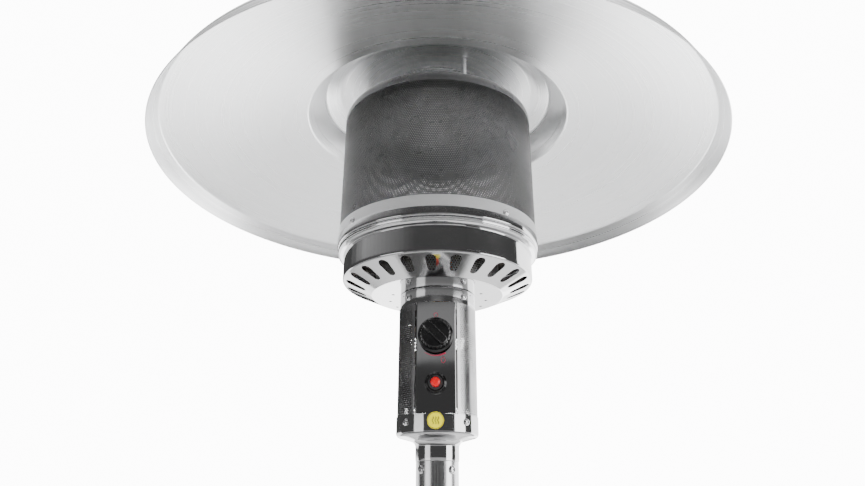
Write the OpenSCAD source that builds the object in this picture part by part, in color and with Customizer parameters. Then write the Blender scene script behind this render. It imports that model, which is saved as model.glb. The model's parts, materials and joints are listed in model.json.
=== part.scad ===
// Free-standing gas patio heater, in millimetres.
// Origin: centre of the base on the floor. +Z up, front towards -Y.
// The head, burner and reflector stand on a slim post; a housing round the gas tank slides up that post.

/* [Reflector] */
// Outer diameter of the spun reflector
reflector_d = 813; // [760:1:860]
// Height of the reflector's middle disc above its rim
reflector_depth = 137; // [110:1:150]
// Sheet thickness of the reflector
reflector_t = 1.2; // [0.8:0.1:2]
// Clear height between the emitter cap and the reflector
reflector_gap = 43; // [30:1:60]

/* [Emitter and burner] */
// Outer diameter of the perforated emitter screen
emitter_d = 280; // [260:1:300]
// Visible height of the emitter screen
emitter_h = 172; // [140:1:200]
// Diameter of the burner bowl's drum
drum_d = 264; // [250:1:270]
// Height of the drum
drum_h = 35.5; // [25:0.5:45]
// Number of air slots round the bowl
slot_count = 24; // [12:1:28]

/* [Control head] */
// Diameter of the perforated head wrap
head_d = 104.6; // [100:0.2:112]
// Visible height of the head wrap and the front panel
head_h = 143; // [135:1:160]
// Width of the flat front panel
panel_w = 51.2; // [46:0.2:56]
// Diameter of the control knob's skirt
knob_d = 45.4; // [36:0.2:46]
// How far the control knob pushes in
knob_push = 4; // [2:0.5:4]
// Diameter of the igniter button
button_d = 12; // [11:0.1:14]

/* [Post] */
// Outer diameter of the post
post_d = 54.4; // [50:0.2:58]
// Wall of the post tubes
post_wall = 1.2; // [1:0.1:2]
// Height of the top of the post
post_top_z = 1667; // [1620:1:1700]
// Height of the joint between the lower and the upper post
post_joint_z = 1210; // [1200:1:1300]

/* [Base and tank housing] */
// Diameter of the base plate
base_d = 500; // [490:1:520]
// Height of the flat top of the base plate
base_h = 35.5; // [30:0.5:40]
// Outer diameter of the tank housing
housing_d = 410; // [404:1:412]
// Height of the tank housing's shell
housing_h = 624; // [610:1:640]
// Height of the three legs above the base plate
leg_h = 576.5; // [570:0.5:580]

/* [Wheels] */
// Diameter of a wheel over its tyre
wheel_d = 116; // [100:1:120]
// Width of a wheel
wheel_w = 26; // [20:1:30]
// Diameter of the wheel axle
axle_d = 10; // [8:1:12]

/* [Hidden] */
$fn = 96;
small_fn = 32;
skin = 0.8;
running_gap = 0.05;
cut = 1;

// Heights of the head and the burner, stacked up from the top of the post
wrap_z0 = post_top_z + 54;
wrap_z1 = wrap_z0 + head_h;
plate_z = wrap_z1 + 21;
drum_z0 = plate_z + 18.5;
drum_z1 = drum_z0 + drum_h;
bead_z1 = drum_z1 + 9;
deck_z = bead_z1 + 1;
ring_z1 = bead_z1 + 28;
emitter_z1 = ring_z1 + emitter_h;
cap_z1 = emitter_z1 + 18;
disc_z = cap_z1 + reflector_gap;
rim_z = disc_z - reflector_depth;

// Radii
head_r = head_d / 2;
band_r = head_r + 0.9;
neck_r = post_d / 2 + 0.8;
post_r = post_d / 2;
bore_r = post_r - post_wall;
drum_r = drum_d / 2;
ring_r = emitter_d / 2 + 2.2;
bead_r = ring_r - 1.6;
screen_r = emitter_d / 2;
stud_r = 110;
crease_r = 91;
collar_r = 49;
guard_r = 86;
housing_r = housing_d / 2;
base_r = base_d / 2;
wheel_r = wheel_d / 2;
axle_r = axle_d / 2;

// Front panel, knob and igniter
panel_y = -50.2;
panel_t = 1.2;
knob_z = wrap_z0 + 97;
igniter_z = wrap_z0 + 37;
knob_back_y = panel_y - 1.3 - knob_push;
knob_rest_turn = 45;
stem_r = 4;
rotor_r = 7;
valve_bore_y = -27;
spring_y = -44;
button_r = button_d / 2;
button_back_y = -42;
button_tip_y = -66;
button_spring_y = -51.5;
igniter_bore_y = -34;

// Legs, feet and wheels
leg_angles = [210, 330, 90];
leg_w = 30;
leg_t = 4;
foot_bolt_rs = [158, 176];
leg_r = 195;
flange_z = base_h + leg_h;
post_z0 = flange_z + 5;
socket_top_z = post_z0 + 54;
cover_z = base_h + housing_h;
neck_top_z = cover_z + 66;
shell_z0 = base_h + 0.3;
ballast_t = 20;
plate_t = 1.5;
wheel_x = 99;
wheel_y = base_r + 34;
wheel_z = wheel_r + 6;
ear_x = 82;
ear_t = 3;
cross_angles = [45, 135, 225, 315];
stud_angles = [-67.6, 52.4, 172.4];
slot_turn = -1.6;
// Small holes in the burner bowl's plate: angle to each side of the front, and radius
plate_holes = [[77, 62], [105, 70], [128, 77]];
plate_hole_r = 1.4;
ring_angles = [40.4, 130.4, 220.4, 310.4];
anchor_angles = [30, 150, 270];
anchor_r = base_r - 28;

// ---- outlines ----

function unit(v) = v / norm(v);
function left_of(a, b) = let (d = unit(b - a)) [-d.y, d.x];

// Offset of point i of an open path, t to the left, mitred at its corners
function miter(p, i, t) =
  let (
    n = len(p),
    a = i > 0 ? left_of(p[i - 1], p[i]) : left_of(p[0], p[1]),
    b = i < n - 1 ? left_of(p[i], p[i + 1]) : a
  )
  p[i] + (a + b) * t / (1 + a * b);

// Outline of a sheet t thick, to the left of an open path
function sheet(p, t) = concat(p, [for (i = [len(p) - 1:-1:0]) miter(p, i, t)]);

// Corner i of a path of [r, z, radius] points, as an arc of steps + 1 points
function corner(p, i, steps) =
  let (
    here = [p[i].x, p[i].y],
    turn = i > 0 && i < len(p) - 1 ? p[i].z : 0
  )
  turn == 0 ? [here] :
  let (
    a = unit([p[i - 1].x, p[i - 1].y] - here),
    b = unit([p[i + 1].x, p[i + 1].y] - here),
    half = acos(a * b) / 2,
    middle = here + unit(a + b) * turn / sin(half),
    from = here + a * turn / tan(half) - middle,
    to = here + b * turn / tan(half) - middle
  )
  [for (k = [0:steps]) middle + turn * unit(from * (1 - k / steps) + to * k / steps)];

function rounded(p, steps = 4) = [for (i = [0:len(p) - 1]) each corner(p, i, steps)];

// A spun shell: a rounded path on its outer face, with the sheet to the left of it
module spun(p, t = skin) {
  rotate_extrude()
    polygon(sheet(rounded(p), t));
}

module tube(r_out, r_in, z0, z1) {
  translate([0, 0, z0])
    difference() {
      cylinder(r = r_out, h = z1 - z0);
      translate([0, 0, -cut])
        cylinder(r = r_in, h = z1 - z0 + 2 * cut);
    }
}

// A cylinder along +Y from y0 to y1, at x and z
module bar_y(r, y0, y1, x = 0, z = 0) {
  translate([x, y0, z])
    rotate([-90, 0, 0])
      cylinder(r = r, h = y1 - y0);
}

// A radial bore through a wall at radius r and height z, on each of the angles
module radial_bores(angles, r, z, bore, depth = 12) {
  for (a = angles)
    rotate([0, 0, a])
      translate([r - depth / 2, 0, z])
        rotate([0, 90, 0])
          cylinder(r = bore, h = depth, $fn = small_fn);
}

// Pan-head screws with their heads on the wall at radius r, pointing at the axis
module radial_screws(angles, r, z, shank, length) {
  head = shank + 2.2;
  for (a = angles)
    rotate([0, 0, a])
      translate([r, 0, z])
        rotate([0, 90, 0])
          rotate_extrude($fn = small_fn)
            polygon([
              [0, -length], [shank, -length], [shank, 0.1], [head, 0.1],
              [head, 1], [head * 0.7, 2.4], [0, 2.9]
            ]);
}

// ---- tubes and leads that follow a route ----

// Two rounds of corner cutting on an open route
function cut_corners(p) = concat(
  [p[0]],
  [for (i = [0:len(p) - 2]) each [p[i] * 0.75 + p[i + 1] * 0.25, p[i] * 0.25 + p[i + 1] * 0.75]],
  [p[len(p) - 1]]
);

module routed(points, r, sides = 8) {
  p = cut_corners(cut_corners(points));
  n = len(p);
  side_way = [1, 0.02, 0.01];
  rings = [for (i = [0:n - 1])
    let (
      along = unit(p[min(i + 1, n - 1)] - p[max(i - 1, 0)]),
      u = unit(cross(along, side_way)),
      v = cross(along, u)
    )
    each [for (k = [0:sides - 1]) p[i] + r * (u * cos(360 * k / sides) + v * sin(360 * k / sides))]];
  walls = [for (i = [0:n - 2], k = [0:sides - 1])
    let (a = i * sides + k, b = i * sides + (k + 1) % sides)
    each [[a, a + sides, b], [b, a + sides, b + sides]]];
  caps = [[for (k = [0:sides - 1]) k], [for (k = [sides - 1:-1:0]) (n - 1) * sides + k]];
  polyhedron(points = rings, faces = concat(walls, caps));
}

// A coil spring along +Y
module coil(r, wire, y0, y1, z, turns) {
  per_turn = 12;
  steps = turns * per_turn;
  sides = 6;
  rings = [for (i = [0:steps])
    let (a = 360 * i / per_turn, y = y0 + wire + (y1 - y0 - 2 * wire) * i / steps)
    each [for (k = [0:sides - 1])
      let (q = r + wire * cos(360 * k / sides))
      [q * cos(a), y + wire * sin(360 * k / sides), z + q * sin(a)]]];
  walls = [for (i = [0:steps - 1], k = [0:sides - 1])
    let (a = i * sides + k, b = i * sides + (k + 1) % sides)
    each [[a, b, a + sides], [b, b + sides, a + sides]]];
  caps = [[for (k = [sides - 1:-1:0]) k], [for (k = [0:sides - 1]) steps * sides + k]];
  polyhedron(points = rings, faces = concat(walls, caps));
}

// ---- base ----

module base_edge_ring() {
  groove = 4;
  color("#1c1c1c")
    difference() {
      tube(base_r + 2.5, base_r - 4, 0, 12);
      tube(base_r, base_r - plate_t, groove, 12 + cut);
    }
}

module base_bores(z0, z1) {
  for (a = leg_angles, r = foot_bolt_rs)
    rotate([0, 0, a])
      translate([r, 0, z0])
        cylinder(r = 4.2, h = z1 - z0, $fn = small_fn);
}

module base_plate() {
  boss_r = 104;
  boss_h = 4;
  drain_r = 18;
  color("#c9c9c9")
    difference() {
      spun([
        [base_r, 4, 0], [base_r, base_h, 11], [boss_r + boss_h, base_h, 2],
        [boss_r, base_h + boss_h, 2], [drain_r, base_h + boss_h, 0]
      ], plate_t);
      base_bores(0, base_h + 10);
      for (a = anchor_angles)
        rotate([0, 0, a])
          translate([anchor_r, 0, 0])
            cylinder(r = 4.5, h = base_h + 10, $fn = small_fn);
      bracket_bores(0, base_h + 10);
    }
}

module base_ballast() {
  top = base_h - plate_t;
  color("#4a4a4a")
    difference() {
      tube(200, 120, top - ballast_t, top);
      base_bores(0, base_h);
    }
}

module leg(angle) {
  tab_r = 34;
  bolt_r = 46;
  outline = rounded([
    [150, base_h, 0], [leg_r, base_h, 8], [leg_r, flange_z - 82, 24], [62, flange_z, 16], [tab_r, flange_z, 0]
  ]);
  color("#8f9193")
    rotate([0, 0, angle])
      difference() {
        translate([0, leg_w / 2, 0])
          rotate([90, 0, 0])
            linear_extrude(leg_w)
              polygon(sheet(outline, leg_t));
        for (r = foot_bolt_rs)
          translate([r, 0, base_h - cut])
            cylinder(r = 4.2, h = 10, $fn = small_fn);
        translate([bolt_r, 0, flange_z - 10])
          cylinder(r = 4.2, h = 20, $fn = small_fn);
      }
}

// A hexagon-headed bolt pointing down from z, with its nut under the grip
module bolt_and_nut(z, grip) {
  head_r = 7.5;
  hex = 6;
  translate([0, 0, z])
    cylinder(r = head_r, h = 5, $fn = hex);
  translate([0, 0, z - grip - 9])
    cylinder(r = 4, h = grip + 9.5, $fn = small_fn);
  translate([0, 0, z - grip - 6.5])
    cylinder(r = head_r, h = 6.5, $fn = hex);
}

module base_bolts() {
  color("#b8b8b8") {
    for (a = leg_angles, r = foot_bolt_rs)
      rotate([0, 0, a])
        translate([r, 0, 0])
          bolt_and_nut(base_h + leg_t, leg_t + plate_t + ballast_t);
    for (x = [-45, 45])
      translate([x, base_r - 31, 0])
        bolt_and_nut(base_h + ear_t, ear_t + plate_t);
  }
}

module post_flange() {
  plate_r = 66;
  color("#8f9193")
    difference() {
      union() {
        translate([0, 0, flange_z])
          cylinder(r = plate_r, h = post_z0 - flange_z);
        tube(post_r + 3.2, post_r + 0.2, post_z0 - 0.5, socket_top_z);
      }
      translate([0, 0, flange_z - cut])
        cylinder(r = 20, h = 10);
      for (a = leg_angles)
        rotate([0, 0, a])
          translate([46, 0, flange_z - cut])
            cylinder(r = 4.2, h = 10, $fn = small_fn);
      radial_bores(cross_angles, post_r, socket_top_z - 22, 3);
    }
}

module flange_bolts() {
  color("#b8b8b8")
    for (a = leg_angles)
      rotate([0, 0, a])
        translate([46, 0, 0])
          bolt_and_nut(post_z0, post_z0 - flange_z + leg_t);
}

// ---- post ----

module post_tube(z0, z1, screw_heights) {
  color("#bfc1c3")
    difference() {
      tube(post_r, bore_r, z0, z1);
      for (z = screw_heights)
        radial_bores(cross_angles, post_r, z, 3);
    }
}

module lower_post() {
  post_tube(post_z0, post_joint_z, [socket_top_z - 22, post_joint_z - 35]);
}

module upper_post() {
  post_tube(post_joint_z, post_top_z, [post_joint_z + 35, post_top_z - 10]);
}

module post_coupler() {
  color("#9a9c9e")
    difference() {
      tube(bore_r - 0.1, bore_r - 1.6, post_joint_z - 70, post_joint_z + 70);
      for (z = [post_joint_z - 35, post_joint_z + 35])
        radial_bores(cross_angles, bore_r, z, 3);
    }
}

module post_screws() {
  shank = 2.9;
  color("#d0d0d0") {
    for (z = [post_joint_z - 35, post_joint_z + 35, post_top_z - 10])
      radial_screws(cross_angles, post_r, z, shank, 5);
    radial_screws(cross_angles, post_r + 3.2, socket_top_z - 22, shank, 7);
  }
}

// ---- tank housing ----

module housing_shell() {
  bead = 3;
  r = housing_r;
  color("#c4c6c8")
    difference() {
      union() {
        spun([
          [r, shell_z0, 0], [r, 56, 3], [r + bead, 60, 3], [r, 64, 3],
          [r, cover_z - 66, 3], [r + bead, cover_z - 62, 3], [r, cover_z - 58, 3], [r, cover_z, 0]
        ], 1);
        rotate([0, 0, 87])
          rotate_extrude(angle = 6)
            translate([r - 0.5, 70, 0])
              square([1.5, cover_z - 140]);
      }
      radial_bores([0:60:300], r, cover_z - 12, 1.7);
      for (k = [0:4])
        radial_bores([90], r, 110 + k * (cover_z - 220) / 4, 1.7);
    }
}

module housing_cover() {
  r = housing_r + 1.2;
  neck = post_r + 6;
  color("#c4c6c8")
    difference() {
      spun([
        [r, cover_z - 24, 0], [r, cover_z + 12, 12], [neck, cover_z + 52, 8], [neck, neck_top_z, 0]
      ], 1);
      radial_bores([0:60:300], r, cover_z - 12, 1.7);
    }
}

module housing_collar() {
  inner = post_r + 1;
  outer = post_r + 4.8;
  top = neck_top_z;
  color("#202020")
    rotate_extrude()
      polygon([
        [inner, top - 26], [outer, top - 26], [outer, top + 0.2], [outer + 4, top + 0.2],
        [outer + 4, top + 3], [outer + 2, top + 5], [inner, top + 5]
      ]);
}

module housing_rivets() {
  shank = 1.6;
  color("#d8d8d8") {
    radial_screws([0:60:300], housing_r + 1.2, cover_z - 12, shank, 3);
    for (k = [0:4])
      radial_screws([90], housing_r + 1, 110 + k * (cover_z - 220) / 4, shank, 3);
  }
}

// ---- wheels ----

module bracket_bores(z0, z1) {
  for (x = [-45, 45])
    translate([x, base_r - 31, z0])
      cylinder(r = 4.2, h = z1 - z0, $fn = small_fn);
}

module wheel_bracket() {
  back_y = base_r + 12;
  top = base_h + ear_t;
  ear = [
    [base_r - 36, base_h], [back_y, base_h], [wheel_y + 12, wheel_z - 12],
    [wheel_y + 12, wheel_z + 12], [wheel_y - 12, wheel_z + 12], [base_r - 36, top + 5]
  ];
  color("#8f9193")
    difference() {
      union() {
        translate([-ear_x, base_r - 46, base_h])
          cube([2 * ear_x, back_y - base_r + 46, ear_t]);
        for (x = [-ear_x, ear_x - ear_t])
          translate([x, 0, 0])
            rotate([90, 0, 90])
              linear_extrude(ear_t)
                polygon(ear);
      }
      translate([0, 0, base_h - cut])
        cylinder(r = housing_r + 4, h = 60);
      bracket_bores(base_h - cut, base_h + 10);
      translate([-ear_x - cut, wheel_y, wheel_z])
        rotate([0, 90, 0])
          cylinder(r = axle_r + running_gap, h = 2 * ear_x + 2 * cut);
    }
}

module wheel_axle() {
  half = wheel_x + wheel_w / 2 + 12;
  color("#b0b0b0")
    translate([-half, wheel_y, wheel_z])
      rotate([0, 90, 0])
        cylinder(r = axle_r, h = 2 * half);
}

module axle_caps() {
  outer = wheel_x + wheel_w / 2 + 2;
  color("#202020")
    for (side = [-1, 1])
      translate([side * outer, wheel_y, wheel_z])
        rotate([0, side * 90, 0])
          rotate_extrude($fn = small_fn)
            polygon([
              [axle_r, 0], [axle_r + 5, 0], [axle_r + 5, 6], [axle_r + 2, 12], [0, 12], [0, 10], [axle_r, 10]
            ]);
}

module on_wheel(side) {
  translate([side * wheel_x, wheel_y, wheel_z])
    rotate([0, 90, 0])
      children();
}

module wheel_hub(side) {
  rim_r = wheel_r - 14;
  half = wheel_w / 2;
  boss_r = 12;
  color("#2a2a2a")
    on_wheel(side)
      difference() {
        union() {
          tube(rim_r, rim_r - 4, -half, half);
          translate([0, 0, -3])
            cylinder(r = rim_r - 2, h = 6);
          translate([0, 0, -half - 1])
            cylinder(r = boss_r, h = wheel_w + 2);
        }
        translate([0, 0, -half - 2])
          cylinder(r = axle_r + running_gap, h = wheel_w + 4);
        for (a = [0:60:300])
          rotate([0, 0, a])
            translate([26, 0, -half])
              cylinder(r = 8, h = wheel_w, $fn = small_fn);
      }
}

module wheel_tyre(side) {
  rim_r = wheel_r - 14;
  half = wheel_w / 2;
  color("#151515")
    on_wheel(side)
      rotate_extrude()
        polygon(rounded([
          [rim_r, -half, 0], [wheel_r - 5, -half, 3], [wheel_r, -half + 6, 4],
          [wheel_r, half - 6, 4], [wheel_r - 5, half, 3], [rim_r, half, 0]
        ]));
}

// ---- control head ----

module head_bottom_cap() {
  spigot_r = bore_r - 0.1;
  color("#d2d2d4")
    difference() {
      spun([
        [spigot_r, post_top_z - 29, 0], [spigot_r, post_top_z, 0], [neck_r, post_top_z, 0],
        [neck_r, post_top_z + 23.3, 8], [band_r, post_top_z + 30, 5], [band_r, wrap_z0, 0]
      ]);
      radial_bores(cross_angles, bore_r, post_top_z - 10, 3, 6);
      radial_bores(cross_angles, band_r, wrap_z0 - 9, 2.1, 6);
    }
}

module head_wrap() {
  opening = panel_w / 2 + 1.8;
  color("#9c9ea0")
    difference() {
      tube(head_r, head_r - skin, wrap_z0 - 18, wrap_z1);
      translate([-opening, -head_r - cut, wrap_z0 - 20])
        cube([2 * opening, head_r, head_h + 30]);
      radial_bores(cross_angles, head_r, wrap_z0 - 9, 2.1, 6);
    }
}

module front_panel() {
  half = panel_w / 2;
  z0 = wrap_z0 + 0.4;
  z1 = wrap_z1 - 0.4;
  flange = 2.6;
  tab = 11;
  color("#8c8e90")
    difference() {
      union() {
        translate([-half, panel_y, z0])
          cube([panel_w, panel_t, z1 - z0]);
        for (x = [-half, half - panel_t])
          translate([x, panel_y, z0])
            cube([panel_t, panel_t + flange, z1 - z0]);
        translate([-tab, panel_y + panel_t, z0 - 14])
          cube([2 * tab, panel_t, z1 - z0 + 15.6]);
      }
      bar_y(stem_r + 1.2, panel_y - cut, panel_y + 5, 0, knob_z);
      bar_y(9.2, panel_y - cut, panel_y + 5, 0, igniter_z);
    }
}

module label_disc() {
  color("#e8c81e")
    intersection() {
      tube(band_r + 0.4, band_r, wrap_z0 - 25, wrap_z0 + 10);
      bar_y(10.5, -band_r - 5, -30, 0, wrap_z0 - 8.5);
    }
}

module head_top_cap() {
  r = head_r - skin - 0.1;
  notch = 18;
  color("#d2d2d4")
    difference() {
      spun([[r, wrap_z1 - 10, 0], [r, plate_z - 0.2, 1.2], [collar_r + 0.3, plate_z - 0.2, 0]]);
      translate([-notch, -r - cut, wrap_z1 - 11])
        cube([2 * notch, 6, 11]);
      radial_bores(cross_angles, r, wrap_z1 + 10, 2.1, 8);
    }
}

module head_screws() {
  shank = 2;
  color("#e0e0e0") {
    radial_screws(cross_angles, band_r, wrap_z0 - 9, shank, 4);
    radial_screws(cross_angles, head_r - skin - 0.1, wrap_z1 + 10, shank, 5);
  }
}

module gas_valve() {
  half = 17;
  boss_r = 10;
  color("#c2a45a")
    difference() {
      union() {
        translate([-half, -36, knob_z - 18])
          cube([2 * half, 44, 38]);
        bar_y(boss_r, -47, -35, 0, knob_z);
        translate([0, 0, knob_z + 19])
          cylinder(r = 7, h = 9, $fn = 6);
        translate([12, -10, knob_z + 19])
          cylinder(r = 4.5, h = 4, $fn = 6);
      }
      bar_y(rotor_r + running_gap, -48, valve_bore_y, 0, knob_z);
    }
}

module valve_bracket() {
  y0 = 8;
  t = 1.5;
  wide = 50;
  color("#9a9c9e")
    difference() {
      translate([-wide, y0, wrap_z0 + 14])
        cube([2 * wide, t, 112]);
      bar_y(9, y0 - cut, y0 + 4, -30, wrap_z0 + 100);
      bar_y(9, y0 - cut, y0 + 4, 30, wrap_z0 + 100);
    }
}

module gas_inlet_fitting() {
  top = knob_z - 18;
  color("#c9ab5e")
    translate([8, -2, 0])
      difference() {
        union() {
          translate([0, 0, top - 10])
            cylinder(r = 9, h = 10, $fn = 6);
          translate([0, 0, top - 24])
            cylinder(r = 6.5, h = 14.5);
        }
        translate([0, 0, top - 25])
          cylinder(r = 3, h = 20);
      }
}

module valve_rotor() {
  color("#b08d57")
    difference() {
      bar_y(rotor_r, -46.5, valve_bore_y - 1, 0, knob_z);
      bar_y(stem_r + running_gap, -48, valve_bore_y, 0, knob_z);
    }
}

module valve_stem() {
  inner_end = valve_bore_y - 2 - knob_push;
  color("#cfcfcf")
    difference() {
      bar_y(stem_r, knob_back_y - 10, inner_end, 0, knob_z);
      bar_y(3, spring_y - knob_push, inner_end + cut, 0, knob_z);
    }
}

module knob_spring() {
  color("#d9d9d9")
    coil(2.2, 0.4, spring_y + 0.3, valve_bore_y - 0.2, knob_z, 7);
}

module control_knob() {
  skirt_r = knob_d / 2;
  body_r = skirt_r - 3;
  flutes = 24;
  depth = 20;
  color("#161616")
    translate([0, knob_back_y, knob_z])
      rotate([90, 0, 0])
        rotate([0, 0, knob_rest_turn])
          difference() {
            union() {
              cylinder(r = skirt_r, h = 4);
              difference() {
                translate([0, 0, 3])
                  cylinder(r1 = body_r, r2 = body_r - 1.5, h = 9);
                for (k = [0:flutes - 1])
                  rotate([0, 0, 360 * k / flutes])
                    translate([body_r + 0.6, 0, 2])
                      cylinder(r = 1.2, h = 12, $fn = small_fn);
              }
              intersection() {
                translate([-5, -body_r, 10])
                  cube([10, 2 * body_r, depth - 10]);
                cylinder(r = body_r - 1, h = depth);
              }
            }
            translate([0, 0, -cut])
              cylinder(r = stem_r + 0.02, h = 11 + cut);
          }
}

module igniter_body() {
  nose_y = -56;
  end_y = -18;
  color("#1a1a1a")
    difference() {
      union() {
        bar_y(9, nose_y, end_y, 0, igniter_z);
        bar_y(11.5, panel_y + 2.5, panel_y + 5.5, 0, igniter_z);
      }
      bar_y(button_r + running_gap, nose_y - cut, igniter_bore_y, 0, igniter_z);
    }
}

module igniter_bezel() {
  r = 13.8;
  color("#101010")
    translate([0, panel_y, igniter_z])
      rotate([90, 0, 0])
        rotate_extrude()
          polygon(rounded([[9.1, 0, 0], [r, 0, 0], [r, 3, 1], [11, 6.5, 1], [9.1, 6.5, 0]]));
}

module igniter_spring() {
  color("#d9d9d9")
    coil(3.6, 0.45, button_spring_y, igniter_bore_y - 0.2, igniter_z, 6);
}

module igniter_button() {
  depth = button_back_y - button_tip_y;
  bore_depth = 15;
  color("#c8141c")
    translate([0, button_back_y, igniter_z])
      rotate([90, 0, 0])
        difference() {
          rotate_extrude()
            polygon(rounded([[0, 0, 0], [button_r, 0, 0], [button_r, depth - 0.4, 3.2], [0, depth, 0]]));
          translate([0, 0, -cut])
            cylinder(r = 4.5, h = bore_depth + cut);
        }
}

module tilt_switch() {
  color("#3a3a3a") {
    translate([0, 24, igniter_z - 16])
      cylinder(r = 9, h = 33);
    translate([-6, 9.5, igniter_z - 8])
      cube([12, 8, 16]);
  }
}

// ---- gas way and pilot ----

module main_gas_pipe() {
  color("#b87a4b")
    tube(4, 3, knob_z + 28, plate_z - 7);
}

module injector() {
  color("#c9ab5e")
    difference() {
      union() {
        translate([0, 0, plate_z - 7])
          cylinder(r = 7, h = 8, $fn = 6);
        translate([0, 0, plate_z + 0.5])
          cylinder(r1 = 4.5, r2 = 3, h = 8.5);
      }
      translate([0, 0, plate_z - 8])
        cylinder(r = 0.9, h = 20, $fn = small_fn);
    }
}

module pilot_tube() {
  color("#b87a4b")
    routed([
      [12, -10, knob_z + 23], [12, -10, 1856], [10, -32, 1878], [6, -56, 1902], [0, -76, 1926], [0, -78, 1956]
    ], 2);
}

module pilot_hood() {
  y = -78;
  color("#a8a8aa")
    difference() {
      union() {
        translate([-24, y - 5, deck_z + 1])
          cube([48, 12, 1.2]);
        translate([0, y, deck_z + 2])
          tube(7, 6, 0, 26);
        for (x = [-26, 24])
          translate([x, y - 5, deck_z + 1])
            cube([2, 12, 20]);
      }
      for (x = [-16, 0, 16])
        translate([x, y, deck_z])
          cylinder(r = 4.2, h = 6, $fn = small_fn);
      translate([-3, y + 2, deck_z + 12])
        cube([6, 8, 20]);
    }
}

module thermocouple() {
  color("#a66a42")
    routed([
      [14, 4, knob_z + 20], [14, 4, 1850], [22, -26, 1880], [22, -54, 1906], [16, -76, 1930], [16, -78, 1976]
    ], 1.6);
}

module igniter_lead() {
  x = -16;
  y = -78;
  color("#b02a20")
    routed([
      [0, -17.9, igniter_z], [0, -14.5, igniter_z], [-12, -10, igniter_z + 3], [-26, -4, 1780],
      [-26, -4, 1840], [-24, -26, 1880], [-22, -54, 1906], [x, -76, 1928], [x, y, 1944]
    ], 1.8);
  color("#eceae2")
    translate([x, y, 1944])
      cylinder(r = 3.5, h = 22, $fn = small_fn);
  color("#9a9a9a")
    translate([x, y, 1966])
      cylinder(r = 0.9, h = 12, $fn = small_fn);
}

// ---- burner ----

// An air slot: a wide round end at the rim, a narrow round end towards the axis
module air_slot() {
  wide = 7;
  narrow = 5.2;
  outer = 127.5 - wide;
  inner = 100.3 + narrow;
  lean = asin((wide - narrow) / (outer - inner));
  step = 6;
  outer_end = [for (k = [0:step])
    let (a = -90 - lean + k * (180 + 2 * lean) / step)
    [outer + wide * cos(a), wide * sin(a)]];
  inner_end = [for (k = [0:step])
    let (a = 90 + lean + k * (180 - 2 * lean) / step)
    [inner + narrow * cos(a), narrow * sin(a)]];
  polygon(concat(outer_end, inner_end));
}

module burner_bowl() {
  color("#d2d2d4")
    difference() {
      spun([
        [collar_r, plate_z - 19, 0], [collar_r, plate_z, 0.6], [crease_r, plate_z, 4], [drum_r, drum_z0, 3],
        [drum_r, drum_z1, 1], [bead_r, drum_z1, 4], [bead_r, bead_z1, 4], [drum_r + 1, bead_z1, 0]
      ]);
      for (k = [0:slot_count - 1])
        rotate([0, 0, -90 + slot_turn + 360 * k / slot_count])
          translate([0, 0, plate_z - 2])
            linear_extrude(26)
              air_slot();
      for (side = [-1, 1])
        for (hole = plate_holes)
          rotate([0, 0, -90 + side * hole[0]])
            translate([hole[1], 0, plate_z - cut])
              cylinder(r = plate_hole_r, h = 3, $fn = small_fn);
      radial_bores(cross_angles, collar_r, wrap_z1 + 10, 2.1, 8);
    }
}

module bowl_guard() {
  color("#8a8c8e")
    tube(guard_r, guard_r - skin, plate_z + skin, bead_z1 + 0.8);
}

module mixer_tube() {
  window_r = 5;
  color("#a4a6a8")
    difference() {
      union() {
        tube(16, 14.6, plate_z + 4, deck_z - 1);
        tube(32, 14.6, deck_z - 2.2, deck_z - 0.2);
      }
      radial_bores([0:90:270], 15, plate_z + 16, window_r);
    }
}

module burner_deck() {
  y = -78;
  color("#909294")
    difference() {
      tube(screen_r - 0.4, 14.6, deck_z - 0.2, deck_z + 1);
      for (a = [0:30:210])
        rotate([0, 0, a - 15])
          translate([108, 0, deck_z - 2])
            cylinder(r = 9, h = 6);
      for (x = [-16, 0, 16])
        translate([x, y, deck_z - 2])
          cylinder(r = 4.2, h = 6, $fn = small_fn);
    }
}

module burner_head() {
  color("#7c7468")
    spun([[62, deck_z + 1, 0], [62, deck_z + 48, 14], [30, deck_z + 54, 20], [0, deck_z + 54, 0]]);
}

module emitter_base_ring() {
  color("#d2d2d4")
    difference() {
      spun([[drum_r, bead_z1, 0], [ring_r, bead_z1, 2], [ring_r - 0.9, ring_z1, 0]]);
      radial_bores(ring_angles, ring_r, ring_z1 - 12, 2.1);
    }
}

module base_ring_screws() {
  color("#e0e0e0")
    radial_screws(ring_angles, ring_r - 0.4, ring_z1 - 12, 2, 5);
}

module emitter_screen() {
  color("#8a8c8e")
    difference() {
      tube(screen_r, screen_r - skin, deck_z + 1, emitter_z1);
      radial_bores(ring_angles, screen_r, ring_z1 - 12, 2.1);
    }
}

module emitter_top_cap() {
  inner = screen_r - skin - 0.3;
  color("#a2a4a6")
    difference() {
      spun([
        [inner, emitter_z1 - 12, 0], [inner, emitter_z1 + 0.2, 0], [screen_r, emitter_z1 + 0.2, 0],
        [screen_r, cap_z1, 12], [0, cap_z1, 0]
      ]);
      for (a = stud_angles)
        rotate([0, 0, a])
          translate([stud_r, 0, cap_z1 - 10])
            cylinder(r = 3.1, h = 20, $fn = small_fn);
    }
}

module reflector_studs() {
  nut_r = 5.8;
  color("#dcdcdc")
    for (a = stud_angles)
      rotate([0, 0, a])
        translate([stud_r, 0, 0]) {
          translate([0, 0, cap_z1 - 10])
            cylinder(r = 3, h = disc_z - cap_z1 + 10, $fn = small_fn);
          translate([0, 0, disc_z - 1])
            cylinder(r = 2.4, h = 18, $fn = small_fn);
          translate([0, 0, cap_z1])
            cylinder(r = nut_r, h = 4.5, $fn = 6);
          translate([0, 0, cap_z1 - skin - 4.5])
            cylinder(r = nut_r, h = 4.5, $fn = 6);
        }
}

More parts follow.
